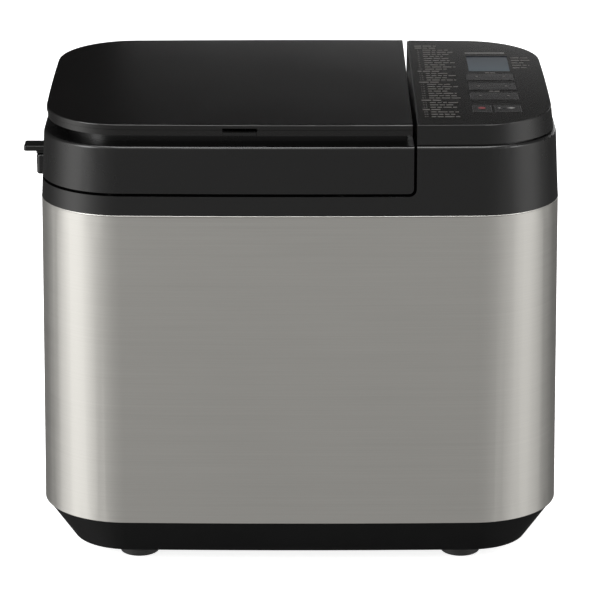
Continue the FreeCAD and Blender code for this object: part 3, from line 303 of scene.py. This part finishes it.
def make_lamination():
    """A stack of thin steel sheets seen at their edges."""
    material, tree, shader = new_material("lamination")
    place = add(tree, "ShaderNodeTexCoord").outputs["Object"]
    layers = add(tree, "ShaderNodeTexWave", {"Vector": place, "Scale": 320.0, "Distortion": 0.3},
                 bands_direction="Z").outputs["Fac"]
    tree.links.new(tinted(tree, layers, (0.13, 0.13, 0.13), (0.36, 0.35, 0.34)), shader.inputs["Base Color"])
    tree.links.new(between(tree, layers, 0.35, 0.5), shader.inputs["Roughness"])
    shader.inputs["Metallic"].default_value = 0.9
    bump(tree, shader, layers, 0.08 * MM)
    return material


def make_winding():
    """Turns of enamelled copper wire, with the colour painted darker between the turns and lighter on each
    turn: painted shade and painted highlight.
    """
    material, tree, shader = new_material("copper_enamel")
    place = add(tree, "ShaderNodeTexCoord").outputs["Object"]
    turns_and_painted_shade = add(tree, "ShaderNodeTexWave", {"Vector": place, "Scale": 260.0, "Distortion": 0.8,
                                            "Detail": 1.0}, bands_direction="Z").outputs["Fac"]
    # Painted shade in the grooves between the turns and a painted highlight along each turn; the roughness and
    # the bump follow the same bands.
    tree.links.new(tinted(tree, turns_and_painted_shade, (0.22, 0.055, 0.02), (0.62, 0.22, 0.08)), shader.inputs["Base Color"])
    tree.links.new(between(tree, turns_and_painted_shade, 0.22, 0.36), shader.inputs["Roughness"])
    shader.inputs["Metallic"].default_value = 0.8
    bump(tree, shader, turns_and_painted_shade, 0.2 * MM)
    return material


# Grain is in cells per metre and depth in millimetres.
FINISH = {
    "brushed_steel": make_brushed_steel(),
    "satin_black": plastic("satin_black", (0.0012, 0.0012, 0.0013), 0.28, grain=1700.0, depth=0.008,
                           specular=0.56),
    "plate_black": plastic("plate_black", (0.0014, 0.0012, 0.0012), 0.2, grain=1900.0, depth=0.004,
                           specular=0.55),
    "black_plastic": plastic("black_plastic", (0.003, 0.003, 0.0032), 0.42, grain=1300.0, depth=0.025,
                             specular=0.4),
    "key_black": plastic("key_black", (0.003, 0.0028, 0.0028), 0.26, grain=2400.0, depth=0.001),
    "printed_film": plastic("printed_film", (0.003, 0.0028, 0.0026), 0.19, grain=2600.0, depth=0.0006,
                            swing=0.02, specular=0.45),
    "foot_rubber": plastic("foot_rubber", (0.014, 0.014, 0.014), 0.62, grain=1100.0, depth=0.03),
    "soft_rubber": plastic("soft_rubber", (0.05, 0.05, 0.052), 0.58, grain=1500.0, depth=0.01),
    "belt_rubber": plastic("belt_rubber", (0.016, 0.016, 0.016), 0.66, grain=900.0, depth=0.04),
    "ceramic": plastic("ceramic", (0.72, 0.7, 0.65), 0.45, grain=1200.0, depth=0.02),
    "grey_plastic": plastic("grey_plastic", (0.2, 0.2, 0.21), 0.42),
    "board_green": plastic("board_green", (0.02, 0.12, 0.05), 0.34, grain=700.0, depth=0.04),
    "display_glass": make_display_glass(),
    "coated_sheet": coated("coated_sheet", (0.075, 0.075, 0.078), (0.12, 0.12, 0.122), 0.42,
                           specks=0.25, depth=0.03),
    "nonstick": coated("nonstick", (0.035, 0.035, 0.037), (0.06, 0.06, 0.062), 0.36, specks=0.7, depth=0.03),
    "nonstick_blade": coated("nonstick_blade", (0.03, 0.03, 0.032), (0.05, 0.05, 0.052), 0.3,
                             specks=0.6, depth=0.02),
    "heater_sheath": metal("heater_sheath", (0.2, 0.17, 0.14), 0.5, lines=200.0),
    "stainless": metal("stainless", (0.62, 0.61, 0.59), 0.24, lines=700.0),
    "zinc_steel": metal("zinc_steel", (0.5, 0.5, 0.49), 0.4, lines=260.0),
    "cast_aluminium": metal("cast_aluminium", (0.5, 0.5, 0.5), 0.5, lines=120.0, depth=0.03),
    "lamination": make_lamination(),
    "copper_enamel": make_winding(),
}


# ---------------------------------------------------------------- mesh building

def new_piece(name, mesh, body, slot, replaces=()):
    """A finished piece: its material, the body it rides on and the nodes it stands for."""
    mesh.materials.clear()
    mesh.materials.append(FINISH[slot])
    piece = bpy.data.objects.new(name, mesh)
    bpy.context.scene.collection.objects.link(piece)
    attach(piece, body)
    if replaces:
        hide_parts(*replaces)
    return piece


def plain_mesh(source, name):
    """The mesh of an object with its modifiers applied; the object is removed."""
    bpy.context.view_layer.update()
    evaluated = source.evaluated_get(bpy.context.evaluated_depsgraph_get())
    mesh = bpy.data.meshes.new_from_object(evaluated)
    mesh.name = name
    old = source.data
    bpy.data.objects.remove(source)
    bpy.data.meshes.remove(old)
    return mesh


def joined_faces(node):
    """A copy of a node's mesh with its loose triangles merged into flat faces."""
    work = bmesh.new()
    work.from_mesh(NODES[node].data)
    bmesh.ops.remove_doubles(work, verts=work.verts, dist=WELD)
    bmesh.ops.dissolve_limit(work, angle_limit=FLAT_ANGLE, verts=work.verts, edges=work.edges)
    mesh = bpy.data.meshes.new(node + "_joined")
    work.to_mesh(mesh)
    work.free()
    normals = mesh.attributes.get("custom_normal")
    if normals is not None:
        mesh.attributes.remove(normals)
    return mesh


def softened(node, width):
    """A node's shape with the small rounded edges that a mould or a press leaves; width in mm."""
    mesh = joined_faces(node)
    for polygon in mesh.polygons:
        polygon.use_smooth = True
    work = bpy.data.objects.new(node + "_work", mesh)
    bpy.context.scene.collection.objects.link(work)
    edge = work.modifiers.new("edge", "BEVEL")
    edge.width = width * MM
    edge.segments = 4 if width > WIDE_EDGE else 2
    edge.limit_method = "ANGLE"
    edge.angle_limit = SHARP_ANGLE
    edge.use_clamp_overlap = True
    edge.harden_normals = False
    shading = work.modifiers.new("shading", "WEIGHTED_NORMAL")
    shading.mode = "FACE_AREA"
    shading.weight = 80
    finished = plain_mesh(work, node + "_soft")
    return new_piece(node + "_soft", finished, BODY_OF[node], SLOT_OF[node], [node])


# How much the edges of each node are rounded, in mm.
SOFT_EDGES = {
    "base_shell": 0.8,
    "top_frame": 0.5,
    "lid_shell": 0.5,
    "panel_cover": 0.35,
    "dispenser_plate": 0.35,
    "lid_tab": 1.6,
    "side_grip": 1.6,
    "plate_catch": 0.3,
    "cord_gland": 0.5,
    "rocker_timer": 0.3,
    "rocker_menu": 0.3,
    "rocker_size": 0.3,
    "key_stop": 0.3,
    "key_start": 0.3,
    "outer_sleeve": 0.2,
    "bread_pan": 0.4,
    "kneading_blade": 0.7,
    "fruit_tray": 0.35,
    "yeast_cup": 0.35,
    "lid_inner_cover": 0.25,
    "pan_lugs": 0.4,
    "feet": 0.6,
}

for node, slot in SLOT_OF.items():
    NODES[node].data.materials[0] = FINISH[slot]
for node, width in SOFT_EDGES.items():
    softened(node, width)


# ---------------------------------------------------------------- prints on the control panel

def make_ink(name, colour):
    """Screen-printed ink, slightly uneven."""
    material, tree, shader = new_material(name)
    patches = use(tree, HANDLING, Size=300.0, Spread=1.6)
    dark = tuple(c * 0.7 for c in colour)
    light = tuple(min(1.0, c * 1.25) for c in colour)
    tree.links.new(tinted(tree, patches.outputs["Patch"], dark, light), shader.inputs["Base Color"])
    tree.links.new(between(tree, patches.outputs["Patch"], 0.45, 0.6), shader.inputs["Roughness"])
    return material


FINISH["grey_ink"] = make_ink("grey_ink", (0.062, 0.058, 0.054))
FINISH["light_ink"] = make_ink("light_ink", (0.17, 0.165, 0.16))
FINISH["red_ink"] = make_ink("red_ink", (0.11, 0.01, 0.013))

INK_THICK = 0.05 * MM
# The printed list: (headings, rows) in each group, and the spacing of its rows and words.
LIST_GROUPS = ((2, 10), (1, 4), (1, 7), (1, 3), (1, 3))
LIST_PITCH = 6.2 * MM
NUMBER_INDENT = 2.2 * MM
ROW_INDENT = 6.0 * MM
DIGIT_SIZE = 3.4 * MM
HEADING_SHARE = 0.7
SHORTEST_ROW = 0.55
WORD_LENGTH = (2.6, 7.5)
WORD_SPACE = 1.1 * MM


def top_height(y):
    """Height of the printed film's face at a depth."""
    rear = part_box("panel_overlay")[1]
    return rear.z - (rear.y - y) * math.tan(TOP_SLOPE)


def film_place(x, y, lift=0.0):
    """Where a flat print lies on the film, or on a key that stands proud of it by lift."""
    ink = Matrix.Translation((x, y, top_height(y) + INK_THICK * 0.5 + lift))
    return ink @ Matrix.Rotation(TOP_SLOPE, 4, "X")


def words_tree():
    """Printed words as thin bars: one on each point, as long as the point's word attribute."""
    tree = bpy.data.node_groups.new("printed_words", "GeometryNodeTree")
    socket(tree, "Geometry", "INPUT", "Geometry")
    socket(tree, "Height", "INPUT", "Float", 0.002)
    socket(tree, "Thickness", "INPUT", "Float", INK_THICK)
    socket(tree, "Slope", "INPUT", "Float", TOP_SLOPE)
    socket(tree, "Ink", "INPUT", "Material")
    socket(tree, "Geometry", "OUTPUT", "Geometry")
    given = tree.nodes.new("NodeGroupInput")
    out = tree.nodes.new("NodeGroupOutput")
    bar = add(tree, "GeometryNodeMeshCube").outputs["Mesh"]
    length = add(tree, "GeometryNodeInputNamedAttribute", {"Name": "word"},
                 data_type="FLOAT").outputs["Attribute"]
    size = add(tree, "ShaderNodeCombineXYZ", {"X": length, "Y": given.outputs["Height"],
                                              "Z": given.outputs["Thickness"]}).outputs[0]
    turn = add(tree, "ShaderNodeCombineXYZ", {"X": given.outputs["Slope"]}).outputs[0]
    bars = add(tree, "GeometryNodeInstanceOnPoints", {"Points": given.outputs["Geometry"], "Instance": bar,
                                                      "Rotation": turn, "Scale": size}).outputs["Instances"]
    solid = add(tree, "GeometryNodeRealizeInstances", {"Geometry": bars}).outputs["Geometry"]
    inked = add(tree, "GeometryNodeSetMaterial", {"Geometry": solid, "Material": given.outputs["Ink"]})
    tree.links.new(inked.outputs["Geometry"], out.inputs["Geometry"])
    return tree


WORDS = words_tree()


def run_tree(name, tree, mesh, values):
    """A mesh made by a Geometry Nodes tree from a starting mesh and named inputs."""
    carrier = bpy.data.objects.new(name, mesh)
    bpy.context.scene.collection.objects.link(carrier)
    modifier = carrier.modifiers.new("nodes", "NODES")
    modifier.node_group = tree
    for item in tree.interface.items_tree:
        if item.in_out == "INPUT" and item.name in values:
            modifier[item.identifier] = values[item.name]
    return plain_mesh(carrier, name)


def printed(name, words, height, ink):
    """Printed bars: words is a list of (x, y, length) in metres, at the bar's middle."""
    mesh = bpy.data.meshes.new(name + "_places")
    mesh.from_pydata([(x, y, top_height(y) + INK_THICK * 0.5) for x, y, _ in words], [], [])
    lengths = mesh.attributes.new("word", "FLOAT", "POINT")
    for index, (_, _, length) in enumerate(words):
        lengths.data[index].value = length
    made = run_tree(name, WORDS, mesh, {"Height": height, "Ink": FINISH[ink]})
    return new_piece(name, made, "housing", ink)


def list_rows(rng, left, right, y):
    """The words of one row, ending at a ragged right margin."""
    words = []
    x = left
    margin = rng.uniform(left + (right - left) * SHORTEST_ROW, right)
    while x < margin:
        length = min(rng.uniform(*WORD_LENGTH) * MM, margin - x + 1 * MM)
        words.append((x + length / 2, y, length))
        x += length + WORD_SPACE
    return words


def make_menu_list():
    """The list of programmes to the left of the keys: headings and numbered rows."""
    rng = random.Random(11)
    display_low, display_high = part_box("display_window")
    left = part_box("panel_overlay")[0].x + 4.2 * MM
    right = display_low.x - 9.0 * MM
    y = display_high.y + 30.0 * MM
    numbers = []
    rows = []
    heads = []
    count = 0
    for headings, entries in LIST_GROUPS:
        for _ in range(headings):
            heads += list_rows(rng, left, left + (right - left) * HEADING_SHARE, y)
            y -= LIST_PITCH
        for _ in range(entries):
            count += 1
            numbers.append((left + NUMBER_INDENT, y, count))
            rows += list_rows(rng, left + ROW_INDENT, right, y)
            y -= LIST_PITCH
    printed("menu_headings", heads, 2.6 * MM, "grey_ink")
    printed("menu_rows", rows, 2.1 * MM, "grey_ink")
    digits = [digit_mesh(str(value), x, y) for x, y, value in numbers]
    new_piece("menu_numbers", joined_meshes("menu_numbers", digits), "housing", "grey_ink")


def digit_mesh(text, x, y):
    """Digits lying on the sloping film, as a mesh already in its place."""
    curve = bpy.data.curves.new("digits", "FONT")
    curve.body = text
    curve.size = DIGIT_SIZE
    curve.align_x = "CENTER"
    curve.align_y = "CENTER"
    curve.resolution_u = 2
    curve.extrude = INK_THICK * 0.5
    holder = bpy.data.objects.new("digits", curve)
    bpy.context.scene.collection.objects.link(holder)
    bpy.context.view_layer.update()
    mesh = bpy.data.meshes.new_from_object(holder.evaluated_get(bpy.context.evaluated_depsgraph_get()))
    bpy.data.objects.remove(holder)
    bpy.data.curves.remove(curve)
    mesh.transform(film_place(x, y))
    return mesh


def joined_meshes(name, meshes):
    """One mesh from several, which are removed."""
    work = bmesh.new()
    for mesh in meshes:
        work.from_mesh(mesh)
        bpy.data.meshes.remove(mesh)
    joined = bpy.data.meshes.new(name)
    work.to_mesh(joined)
    work.free()
    return joined


def flat_symbol(points, x, y, scale, lift=0.0):
    """A flat printed symbol from its outline, given about its own middle."""
    work = bmesh.new()
    bottom = [work.verts.new((px * scale, py * scale, -INK_THICK / 2)) for px, py in points]
    top = [work.verts.new((px * scale, py * scale, INK_THICK / 2)) for px, py in points]
    work.faces.new(top)
    work.faces.new(bottom[::-1])
    for index in range(len(points)):
        after = (index + 1) % len(points)
        work.faces.new((bottom[index], bottom[after], top[after], top[index]))
    bmesh.ops.recalc_face_normals(work, faces=work.faces)
    bmesh.ops.transform(work, matrix=film_place(x, y, lift), verts=work.verts)
    mesh = bpy.data.meshes.new("symbol")
    work.to_mesh(mesh)
    work.free()
    return mesh


def round_outline(sides):
    """The corners of a round symbol of unit radius."""
    return [(math.cos(math.tau * k / sides), math.sin(math.tau * k / sides)) for k in range(sides)]


ARROW_UP = [(-1, -0.7), (1, -0.7), (0, 0.9)]
ARROW_DOWN = [(-1, 0.7), (0, -0.9), (1, 0.7)]
DIAMOND = [(-1.6, 0), (0, -1), (1.6, 0), (0, 1)]

# Half sizes of the symbols on the keys, and how far behind a key's middle they lie.
ARROW_SIZE = 1.5 * MM
STOP_SIZE = 2.7 * MM
DOT_SIZE = 0.9 * MM
DIAMOND_SIZE = 2.0 * MM
MARK_BACK = 1.0 * MM
# How far the symbols lie in from the left and the right end of a key.
ARROW_IN = 7.8 * MM
DOT_IN = 3.6 * MM
RIGHT_IN = 7.2 * MM


def key_lift(key):
    """How far a key's face stands above the printed film."""
    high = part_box(key)[1]
    return high.z - top_height(high.y)


def mark_rocker(key):
    """An arrow at each end of a rocker."""
    low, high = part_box(key)
    y = (low.y + high.y) / 2 + MARK_BACK
    lift = key_lift(key)
    marks = [flat_symbol(ARROW_DOWN, low.x + ARROW_IN, y, ARROW_SIZE, lift),
             flat_symbol(ARROW_UP, high.x - RIGHT_IN, y, ARROW_SIZE, lift)]
    new_piece(key + "_marks", joined_meshes(key + "_marks", marks), key, "grey_ink")


def mark_keys():
    """Symbols on the rockers and on the two push keys."""
    for key in ("rocker_timer", "rocker_menu", "rocker_size"):
        mark_rocker(key)
    low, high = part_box("key_stop")
    centre = (low + high) / 2
    stop = flat_symbol(round_outline(20), centre.x, centre.y + MARK_BACK, STOP_SIZE, key_lift("key_stop"))
    new_piece("key_stop_mark", stop, "key_stop", "red_ink")
    low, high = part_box("key_start")
    y = (low.y + high.y) / 2 + MARK_BACK
    lift = key_lift("key_start")
    start = [flat_symbol(round_outline(14), low.x + DOT_IN, y, DOT_SIZE, lift),
             flat_symbol(DIAMOND, high.x - RIGHT_IN, y, DIAMOND_SIZE, lift)]
    new_piece("key_start_marks", joined_meshes("key_start_marks", start), "key_start", "light_ink")


NOTE_ROWS = 5
NOTE_PITCH = 7.2 * MM
# Captions behind the first and the last rocker: two words each, as (offset from the middle, length).
UPPER_CAPTION = ((-2.0 * MM, 3.4 * MM), (2.2 * MM, 3.6 * MM))
LOWER_CAPTION = ((-1.8 * MM, 3.2 * MM), (2.4 * MM, 3.8 * MM))


def caption_panel():
    """Short captions, the note beside the display and the trim line behind it."""
    display_low, display_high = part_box("display_window")
    middle = (display_low.x + display_high.x) / 2
    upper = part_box("rocker_timer")[1].y + 3.4 * MM
    lower = (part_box("rocker_menu")[0].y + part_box("rocker_size")[1].y) / 2
    captions = [(middle + offset, upper, length) for offset, length in UPPER_CAPTION]
    captions += [(middle + offset, lower, length) for offset, length in LOWER_CAPTION]
    printed("key_captions", captions, 2.4 * MM, "grey_ink")
    rng = random.Random(5)
    note = []
    for row in range(NOTE_ROWS):
        note += list_rows(rng, display_high.x + 2.8 * MM, display_high.x + 17.5 * MM,
                          display_high.y - 5.5 * MM - row * NOTE_PITCH)
    printed("display_note", note, 2.0 * MM, "grey_ink")
    trim = [(middle - 1 * MM, display_high.y + 9.0 * MM, 31 * MM)]
    printed("panel_trim_line", trim, 1.5 * MM, "light_ink")


make_menu_list()
mark_keys()
caption_panel()


# ---------------------------------------------------------------- steel sleeve

HEM_RADIUS = 0.6 * MM
HEM_SINK = 0.36 * MM
HEM_SIDES = 8
# Vertices this near to a height belong to the outline there.
LOOP_REACH = 0.3 * MM


def outer_loop(node, height):
    """The outer outline of a node's vertices near a height, in order round it."""
    ring = [v.co.xy for v in NODES[node].data.vertices if abs(v.co.z - height) < LOOP_REACH]
    order = geometry.convex_hull_2d(ring)
    loop = [ring[index] for index in order]
    area = sum(a.x * b.y - b.x * a.y for a, b in zip(loop, loop[1:] + loop[:1]))
    return loop if area > 0 else loop[::-1]


def make_hem():
    """The rounded hem along the steel sleeve's upper edge, sunk into its wall."""
    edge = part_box("outer_sleeve")[1].z
    loop = outer_loop("outer_sleeve", edge)
    height = edge - HEM_RADIUS
    sides = HEM_SIDES
    count = len(loop)
    verts = []
    for index, point in enumerate(loop):
        along = (loop[(index + 1) % count] - loop[index - 1]).normalized()
        outward = Vector((along.y, -along.x))
        centre = point - outward * HEM_SINK
        for side in range(sides):
            angle = math.tau * side / sides
            across = centre + outward * (math.cos(angle) * HEM_RADIUS)
            verts.append((across.x, across.y, height + math.sin(angle) * HEM_RADIUS))
    faces = [(i * sides + j, ((i + 1) % count) * sides + j, ((i + 1) % count) * sides + (j + 1) % sides,
              i * sides + (j + 1) % sides) for i in range(count) for j in range(sides)]
    mesh = bpy.data.meshes.new("sleeve_top_bead")
    mesh.from_pydata(verts, [], faces)
    work = bmesh.new()
    work.from_mesh(mesh)
    bmesh.ops.recalc_face_normals(work, faces=work.faces)
    for face in work.faces:
        face.smooth = True
    work.to_mesh(mesh)
    work.free()
    new_piece("sleeve_top_bead", mesh, "housing", "brushed_steel")


make_hem()


# ---------------------------------------------------------------- stage, light and camera

FLOOR_HALF = 14.0
FLOOR_DROP = 0.2 * MM
FLOOR_GLOW = 0.85


def make_floor():
    """A wide pale floor that glows a little and isn't mirrored in the machine."""
    material, tree, shader = new_material("studio_floor")
    patches = use(tree, HANDLING, Size=1.2, Spread=0.3)
    tree.links.new(tinted(tree, patches.outputs["Patch"], (0.9, 0.9, 0.9), (0.94, 0.94, 0.94)),
                   shader.inputs["Base Color"])
    shader.inputs["Roughness"].default_value = 0.7
    shader.inputs["Specular IOR Level"].default_value = 0.1
    shader.inputs["Emission Color"].default_value = (1.0, 1.0, 1.0, 1.0)
    shader.inputs["Emission Strength"].default_value = FLOOR_GLOW
    mesh = bpy.data.meshes.new("studio_floor")
    work = bmesh.new()
    bmesh.ops.create_grid(work, x_segments=8, y_segments=8, size=FLOOR_HALF)
    bmesh.ops.translate(work, verts=work.verts, vec=(0, 0, -FLOOR_DROP))
    work.to_mesh(mesh)
    work.free()
    mesh.materials.append(material)
    floor = bpy.data.objects.new("studio_floor", mesh)
    bpy.context.scene.collection.objects.link(floor)
    floor.visible_glossy = False


# Soft lights: place, height of the point on the middle line that it faces, size and power.
SOFTBOXES = {
    "left_box": ((-1.5, -1.0, 1.1), 0.2, (0.7, 1.4), 22),
    "right_box": ((1.6, -1.0, 1.0), 0.2, (0.5, 1.2), 9),
    "top_box": ((0.0, -0.2, 2.4), 0.2, (1.8, 1.4), 45),
    "rear_strip": ((0.28, 0.62, 0.42), 0.36, (1.0, 0.15), 0.72),
}


def softbox(name, place, aim, size, power):
    """A rectangular soft light that faces the middle line at the height aim."""
    light = bpy.data.lights.new(name, "AREA")
    light.shape = "RECTANGLE"
    light.size, light.size_y = size
    light.energy = power
    lamp = bpy.data.objects.new(name, light)
    bpy.context.scene.collection.objects.link(lamp)
    lamp.location = place
    lamp.rotation_euler = (Vector((0, 0, aim)) - Vector(place)).to_track_quat("-Z", "Y").to_euler()


# Strengths of the studio's light all round, from the front, from above and from the upper front.
WORLD_BASE = 0.14
WORLD_FRONT = 0.235
WORLD_TOP = 0.25
WORLD_FRONT_TOP = 0.6
# What is left of the light behind the machine, and of the light that comes steeply from below.
WORLD_REAR = 0.1
WORLD_BELOW = 0.1
# The rise at which the light from below is fully cut, and the rise above which it is whole.
CUT_LOW, CUT_HIGH = -0.75, -0.42
# Light from low down on the left and on the right.
LOW_SIDES = ((-1, 0.7), (1, 0.25))
# Bright walls: side, angle from the front, rise, strength and sharpness.
WALLS = (
    (-1, math.radians(70), -0.1, 0.8, 5.0),
    (-1, math.radians(74), -0.1, 0.7, 14.0),
    (-1, math.radians(72), 0.2, 1.1, 22.0),
    (1, math.radians(70), -0.1, 0.48, 5.0),
    (1, math.radians(80), -0.1, 0.54, 14.0),
    (1, math.radians(74), 0.2, 0.9, 22.0),
)


def lobe(tree, heading, direction, sharpness, gain):
    """Light that is strongest from one direction and falls off round it."""
    axis = Vector(direction).normalized()
    facing = add(tree, "ShaderNodeVectorMath", {0: heading, 1: tuple(axis)},
                 operation="DOT_PRODUCT").outputs["Value"]
    lit = maths(tree, "POWER", maths(tree, "MAXIMUM", facing, 0.0), sharpness)
    return maths(tree, "MULTIPLY", lit, gain)


def make_world():
    """A dim studio with brighter walls to the left and the right of the front."""
    world = bpy.data.worlds.new("studio")
    world.use_nodes = True
    tree = world.node_tree
    tree.nodes.clear()
    heading = add(tree, "ShaderNodeTexCoord").outputs["Generated"]
    total = maths(tree, "ADD", lobe(tree, heading, (0, -1, -0.3), 1.2, WORLD_FRONT), WORLD_BASE)
    for side, turn, rise, gain, sharpness in WALLS:
        axis = (side * math.sin(turn), -math.cos(turn), rise)
        total = maths(tree, "ADD", total, lobe(tree, heading, axis, sharpness, gain))
    total = maths(tree, "ADD", total, lobe(tree, heading, (0, 0.2, 1), 3.0, WORLD_TOP))
    total = maths(tree, "ADD", total, lobe(tree, heading, (0, -0.7, 0.7), 10.0, WORLD_FRONT_TOP))
    height = add(tree, "ShaderNodeSeparateXYZ", {0: heading}).outputs["Z"]
    below = add(tree, "ShaderNodeMapRange", {"Value": height, "From Min": CUT_LOW, "From Max": CUT_HIGH,
                                             "To Min": WORLD_BELOW, "To Max": 1.0},
                interpolation_type="SMOOTHSTEP").outputs[0]
    behind = lobe(tree, heading, (0, 1, 0.25), 3.0, 1.0)
    rear = between(tree, behind, 1.0, WORLD_REAR)
    total = maths(tree, "MULTIPLY", maths(tree, "MULTIPLY", total, below), rear)
    for side, gain in LOW_SIDES:
        total = maths(tree, "ADD", total, lobe(tree, heading, (side * 0.9, -0.15, -0.8), 11.0, gain))
    shade = add(tree, "ShaderNodeBackground", {"Color": (1.0, 0.992, 0.975, 1.0), "Strength": total})
    out = tree.nodes.new("ShaderNodeOutputWorld")
    tree.links.new(shade.outputs[0], out.inputs["Surface"])
    bpy.context.scene.world = world


# The camera: its distance from the body's middle, its height, its pitch and its lens in mm.
CAMERA_BACK = 2.311
CAMERA_HIGH = 0.9042
CAMERA_DOWN = math.radians(17.42)
CAMERA_LENS = 185.3


def make_camera():
    """A long lens looking down at the front."""
    lens = bpy.data.cameras.new("camera")
    lens.lens = CAMERA_LENS
    lens.sensor_width = 36.0
    lens.clip_end = 60.0
    camera = bpy.data.objects.new("camera", lens)
    bpy.context.scene.collection.objects.link(camera)
    camera.location = (BODY_X, BODY_Y - CAMERA_BACK, CAMERA_HIGH)
    camera.rotation_euler = (math.radians(90) - CAMERA_DOWN, 0, 0)
    bpy.context.scene.camera = camera


make_floor()
make_world()
for name, (place, aim, size, power) in SOFTBOXES.items():
    softbox(name, place, aim, size, power)
make_camera()
bpy.context.scene.view_settings.view_transform = "Standard"
